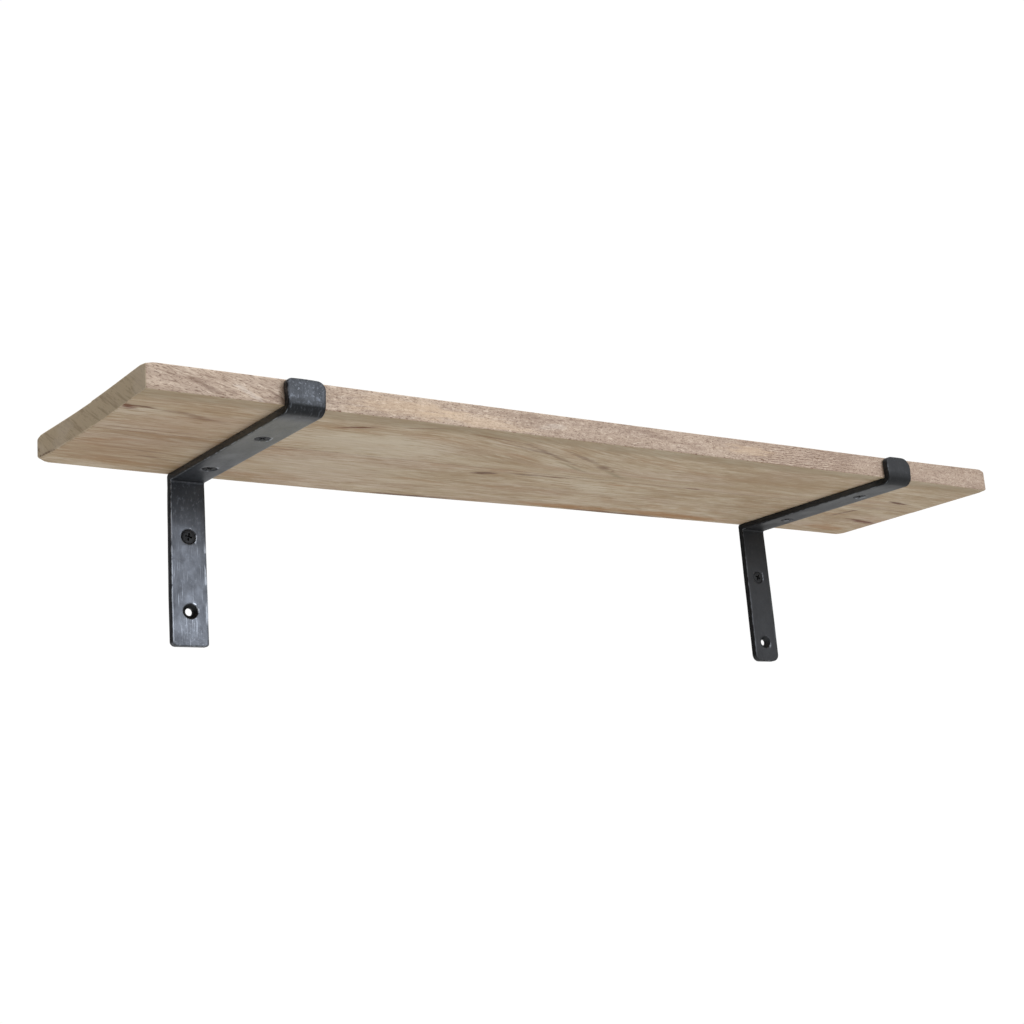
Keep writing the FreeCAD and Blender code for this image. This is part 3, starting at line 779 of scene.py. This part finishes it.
def makeBracket(side, node, name, material):
    values = bracketShape[side]
    stations = barStations(side)
    halfWidth = barShape["width"] / 2
    length = stations[-1]
    thick = barShape["thick"]
    bm = bmesh.new()
    makeBox(bm, (-halfWidth, 0, 0), (halfWidth, length, thick))
    for along, radii in ((0, values["lipCorners"]), (length, values["footCorners"])):
        for across, radius in zip((-halfWidth, halfWidth), radii):
            bevelEdges(bm, uprightEdges(bm, across, along), radius * mm, 8)
    bevelEdges(bm, levelEdges(bm), barShape["arris"], 3)

    # lines of mesh across and along the bar, each hole in a square of its own
    half = barShape["patch"]
    holes = [stations[2] - barShape["frontInner"] + place * mm for place in values["armHoles"]]
    holes += [stations[4] - barShape["cornerZone"] + place * mm for place in values["legHoles"]]
    outside = spaced(half, halfWidth - 0.5 * mm, 2.2 * mm)
    columns = [n * half / 4 for n in range(-4, 5)] + outside + [-place for place in outside]
    edges = [hole + sign * half for sign in (-1, 1) for hole in holes]
    cuts = sorted(stations[1:5] + [length - 1 * mm] + edges)
    rows = list(cuts)
    for start, end in zip([1 * mm] + cuts, cuts):
        isBend = abs(start - stations[1]) < 1e-6 or abs(start - stations[3]) < 1e-6
        step = 0.8 * mm if isBend else 2 * mm
        rows += spaced(start, end, step)
    sliceMesh(bm, 0, sorted(columns))
    sliceMesh(bm, 1, sorted(set(rows)))
    sliceMesh(bm, 2, [thick / 3, thick * 2 / 3])
    for hole in holes:
        cutHole(bm, hole)

    # for the material: how rubbed each point is, with a painted highlight on the countersink rims,
    # whether it is inside a countersink and where it is on the flat bar
    wearAndGlint = bm.verts.layers.float.new("wearAndGlint")
    sunk = bm.verts.layers.float.new("sunk")
    flatPlace = bm.verts.layers.float_vector.new("flatPlace")
    rimGlint = barShape["rimGlint"]
    for vert in bm.verts:
        across, along, off = vert.co
        sideGap = halfWidth - abs(across)
        nearArris = min(sideGap, along, length - along) + min(off, thick - off)
        vert[wearAndGlint] = math.exp(-max(0, nearArris - barShape["wearFull"]) / barShape["wearFade"])
        gaps = [math.hypot(across, along - hole) - barShape["sink"] for hole in holes]
        onRoomSide = off > thick - rimGlint
        if onRoomSide and across > 1 * mm and min(abs(gap) for gap in gaps) < rimGlint:
            vert[wearAndGlint] = 1       # a painted highlight on the right half of each rim, given as full wear
        isSunk = rimGlint / 2 < off and not onRoomSide and min(gaps) < -rimGlint / 2
        vert[sunk] = 1 if isSunk else 0
        vert[flatPlace] = vert.co

        # the hand-made bar is a little uneven, and spreads at the lip and along the leg
        spot = Vector((across * 20, along * 20, values["drop"]))
        vert.co.x += barShape["wobble"] * noise.noise(spot * 2.2 + Vector((0, 0, 5)))
        isRight = across > 0
        onLip = bump(along, 0, barShape["flareReach"])
        onLeg = min(1, max(0, (along - stations[4]) / barShape["wideReach"])) ** 0.7
        spread = values["flare"][isRight] * onLip + values["wide"][isRight] * onLeg
        vert.co.x += spread * mm * across / halfWidth
        crown = barShape["crown"] * bump(along, 0, barShape["crownReach"])
        vert.co.y += crown * (across / halfWidth) ** 2
    for vert in bm.verts:
        vert.co = onBracket(side, bendBar(vert.co, stations))
    finishPiece(bm, name, node, material, 35)


leftSteel = makeSteel("waxed steel left", "left")
rightSteel = makeSteel("waxed steel right", "right")
makeBracket("left", "left_bracket", "bracketLeft", leftSteel)
makeBracket("right", "right_bracket", "bracketRight", rightSteel)
print("brackets done")


screwShape = {
    "head": 5.7 * mm,        # radius
    "land": 0.4 * mm,
    "shank": 2.0 * mm,       # radius at the root of the thread
    "thread": 2.85 * mm,
    "length": 20 * mm,
    "point": 6 * mm,
    "pitch": 2.4 * mm,
    "ring": 0.24 * mm,       # spacing of the rings that the thread is pushed out of
    "round": 48,             # points round the head and in each ring
    "recess": 3.2 * mm,      # half the span of the cross
    "slot": 0.75 * mm,       # half the width of its slots
    "mouth": (0.96, 0.25 * mm),    # the recess narrows to this share over this depth
    "well": (0.72, 1.9 * mm),      # and then to this one
    "rimInset": 0.25 * mm,
    "rimDrop": 0.12 * mm,
    "crestSlope": 3.2,       # how steeply the thread falls off its crest
    "tipLeast": 0.03,        # share of the radius left at the very point
}

# Which screw, its place on its bracket and how far it was turned when it was driven, degrees.
screwPlaces = [
    ("left", "front", 20), ("left", "rear", 38), ("left", "wall", 12),
    ("right", "front", 31), ("right", "rear", 8), ("right", "wall", 27),
]


def extrudeRing(bm, edges, scale, deeper):
    # pulls a ring of edges along the screw and scales it about the screw's line
    made = bmesh.ops.extrude_edge_only(bm, edges=edges)["geom"]
    fresh = [item for item in made if isinstance(item, bmesh.types.BMVert)]
    bmesh.ops.scale(bm, vec=(scale, scale, 1), verts=fresh)
    bmesh.ops.translate(bm, vec=(0, 0, deeper), verts=fresh)
    return [item for item in made if isinstance(item, bmesh.types.BMEdge)
            and all(vert in fresh for vert in item.verts)]


def threadRadius(angle, height):
    # root or crest of the thread at this height, running out to nothing at the point
    start = screwShape["land"] + screwShape["head"] - screwShape["shank"]
    root, rise = screwShape["shank"], screwShape["thread"] - screwShape["shank"]
    phase = (height / screwShape["pitch"] - angle / math.tau) % 1
    crest = max(0, 1 - abs(phase - 0.5) * screwShape["crestSlope"])
    runIn = min(1, max(0, (height - start) / screwShape["pitch"]))
    toPoint = (screwShape["length"] - height) / screwShape["point"]
    return min(1, max(screwShape["tipLeast"], toPoint)) ** 0.8 * (root + rise * crest * runIn)


def makeScrew(side, which, turned, material):
    head, land = screwShape["head"], screwShape["land"]
    faceRadius = head - screwShape["rimInset"]
    bm = bmesh.new()
    rim = bmesh.ops.create_circle(bm, segments=screwShape["round"], radius=faceRadius)["verts"]
    rimEdges = [edge for edge in bm.edges if all(vert in rim for vert in edge.verts)]

    # the cross recess, an outline of twelve points
    far, near = screwShape["recess"], screwShape["slot"]
    quarter = [(far, -near), (far, near), (near, near)]
    outline = []
    for step in range(4):
        spin = Matrix.Rotation(math.radians(90 * step), 2)
        outline += [bm.verts.new((*(spin @ Vector(point)), 0)) for point in quarter]
    crossEdges = [bm.edges.new((outline[n - 1], outline[n])) for n in range(len(outline))]
    bmesh.ops.triangle_fill(bm, edges=rimEdges + crossEdges, use_beauty=True)
    floor = extrudeRing(bm, crossEdges, *screwShape["mouth"])
    floor = extrudeRing(bm, floor, *screwShape["well"])
    flat = bmesh.ops.contextual_create(bm, geom=floor)["faces"]
    bmesh.ops.poke(bm, faces=flat, offset=0)

    # the rim, the cone under the head and the shank down to the point
    edges = extrudeRing(bm, rimEdges, head / faceRadius, screwShape["rimDrop"])
    edges = extrudeRing(bm, edges, 1, land - screwShape["rimDrop"])
    cone = head - screwShape["shank"]
    edges = extrudeRing(bm, edges, screwShape["shank"] / head, cone)
    for _ in range(round((screwShape["length"] - land - cone) / screwShape["ring"])):
        edges = extrudeRing(bm, edges, 1, screwShape["ring"])
    bmesh.ops.contextual_create(bm, geom=edges)
    for vert in bm.verts:
        if vert.co.z > land + cone + 1e-6:
            angle = math.atan2(vert.co.y, vert.co.x)
            radius = threadRadius(angle, vert.co.z)
            vert.co.xy = (radius * math.cos(angle), radius * math.sin(angle))

    # from its own upright line to its hole: up into the board, or back into the wall
    depth = barShape["sink"] - barShape["thick"] - head - land
    spin = Matrix.Rotation(math.radians(turned), 3, "Z")
    bmesh.ops.rotate(bm, matrix=spin, verts=bm.verts[:])
    values = bracketShape[side]
    if which == "wall":
        tilt = Matrix.Rotation(math.radians(-90), 3, "X")
        bmesh.ops.rotate(bm, matrix=tilt, verts=bm.verts[:])
        place = Vector((0, depth, -values["legHoles"][0] * mm))
    else:
        hole = values["armHoles"][0 if which == "front" else 1] * mm
        place = Vector((0, hole - barShape["depth"], depth))
    for vert in bm.verts:
        vert.co = onBracket(side, vert.co + place)
    name = "screw" + side.capitalize() + which.capitalize()
    finishPiece(bm, name, f"{side}_{which}_screw", material, 32)


screwLook = {
    "base": color(16, 16, 17),
    "cloud": color(27, 27, 28),
    "speck": color(70, 71, 73),
    "metal": 0.2,
    "specular": 0.3,
}


def makeScrewSteel():
    material, tree = newMaterial("black phosphated steel")
    place = addNode(tree, "TexCoord").outputs["Object"]
    speck = noiseAt(tree, place, (900, 900, 900), 3, 0.6)
    cloud = noiseAt(tree, place, (160, 160, 160), 3, 0.6)
    tone = washed(tree, screwLook["base"], screwLook, [
        (cloud, 0.35, 0.7, 1, "cloud"),
        (speck, 0.66, 0.78, 0.3, "speck"),
    ])
    rough = ramp(tree, speck, 0.3, 0.7, 0.45, 0.6)
    inputs = {"Base Color": tone, "Metallic": screwLook["metal"], "Roughness": rough,
              "Specular IOR Level": screwLook["specular"]}
    finishMaterial(tree, inputs, speck, 0.2, 0.1 * mm)
    return material


blackSteel = makeScrewSteel()
for side, which, turned in screwPlaces:
    makeScrew(side, which, turned, blackSteel)
print("screws done")


studio = {
    "floorHeight": -1.25,
    "floorRadius": 5,
    "floorColor": (0.9, 0.9, 0.9, 1),
    "worldLight": 0.75,
    "worldDark": 0.14,      # the studio is dark to the left of the shelf
    "worldEdge": (-0.45, 0.1),
    "seenWhite": 1.02,
    "lens": 54.95,
    "sensor": 36,
    "clip": (0.05, 200),
    "eye": (-0.8252, -1.1441, -0.3339),
    "yaw": 0.62717,
    "pitch": 0.22769,
    "roll": -0.07738,
}

# Panels of light: name, place, size, watts and tint. Both face the middle of the board.
panels = [
    ("key", (1.1, -2.9, 0.7), (1.2, 1.6), 60, (0.90, 0.96, 1.06)),
    ("top", (-0.4, -0.6, 2.2), (2.5, 2.0), 50, (1, 1, 1)),
]
panelAim = Vector((0, -0.1, 0))


def makeFloor():
    bm = bmesh.new()
    bmesh.ops.create_circle(bm, cap_ends=True, segments=96, radius=studio["floorRadius"])
    bmesh.ops.translate(bm, vec=(0, 0, studio["floorHeight"]), verts=bm.verts[:])
    mesh = bpy.data.meshes.new("floor")
    bm.to_mesh(mesh)
    bm.free()
    floor = bpy.data.objects.new("floor", mesh)
    bpy.context.scene.collection.objects.link(floor)
    material, tree = newMaterial("pale floor")
    finishMaterial(tree, {"Base Color": studio["floorColor"], "Roughness": 0.9})
    mesh.materials.append(material)


def makeWorld():
    world = bpy.data.worlds.new("studio")
    bpy.context.scene.world = world
    world.use_nodes = True
    tree = world.node_tree
    tree.nodes.clear()
    toward = addNode(tree, "TexCoord").outputs["Generated"]
    towardX = addNode(tree, "SeparateXYZ", {"Vector": toward}).outputs[0]
    light = ramp(tree, towardX, *studio["worldEdge"], studio["worldDark"], studio["worldLight"])
    seen = addNode(tree, "LightPath").outputs["Is Camera Ray"]
    strength = mix(tree, seen, light, studio["seenWhite"], "FLOAT")
    background = addNode(tree, "Background", {"Color": (1, 1, 1, 1), "Strength": strength})
    addNode(tree, "OutputWorld", {"Surface": background.outputs[0]})


def addPanel(name, place, size, power, tint):
    light = bpy.data.lights.new(name, "AREA")
    light.shape = "RECTANGLE"
    light.size, light.size_y = size
    light.energy = power
    light.color = tint
    lamp = bpy.data.objects.new(name, light)
    lamp.location = place
    lamp.rotation_euler = (panelAim - Vector(place)).to_track_quat("-Z", "Y").to_euler()
    bpy.context.scene.collection.objects.link(lamp)


def makeCamera():
    data = bpy.data.cameras.new("camera")
    data.lens = studio["lens"]
    data.sensor_width = studio["sensor"]
    data.clip_start, data.clip_end = studio["clip"]
    camera = bpy.data.objects.new("camera", data)
    yaw, pitch, roll = studio["yaw"], studio["pitch"], studio["roll"]
    level = math.cos(pitch)
    forward = Vector((math.sin(yaw) * level, math.cos(yaw) * level, math.sin(pitch)))
    right = Vector((math.cos(yaw), -math.sin(yaw), 0))
    up = right.cross(forward)
    rolledRight = right * math.cos(roll) + up * math.sin(roll)
    rolledUp = up * math.cos(roll) - right * math.sin(roll)
    turn = Matrix((rolledRight, rolledUp, -forward)).transposed().to_4x4()
    camera.matrix_world = Matrix.Translation(studio["eye"]) @ turn
    bpy.context.scene.collection.objects.link(camera)
    bpy.context.scene.camera = camera


makeFloor()
makeWorld()
for panel in panels:
    addPanel(*panel)
makeCamera()
bpy.context.scene.view_settings.view_transform = "Standard"
print("studio done")
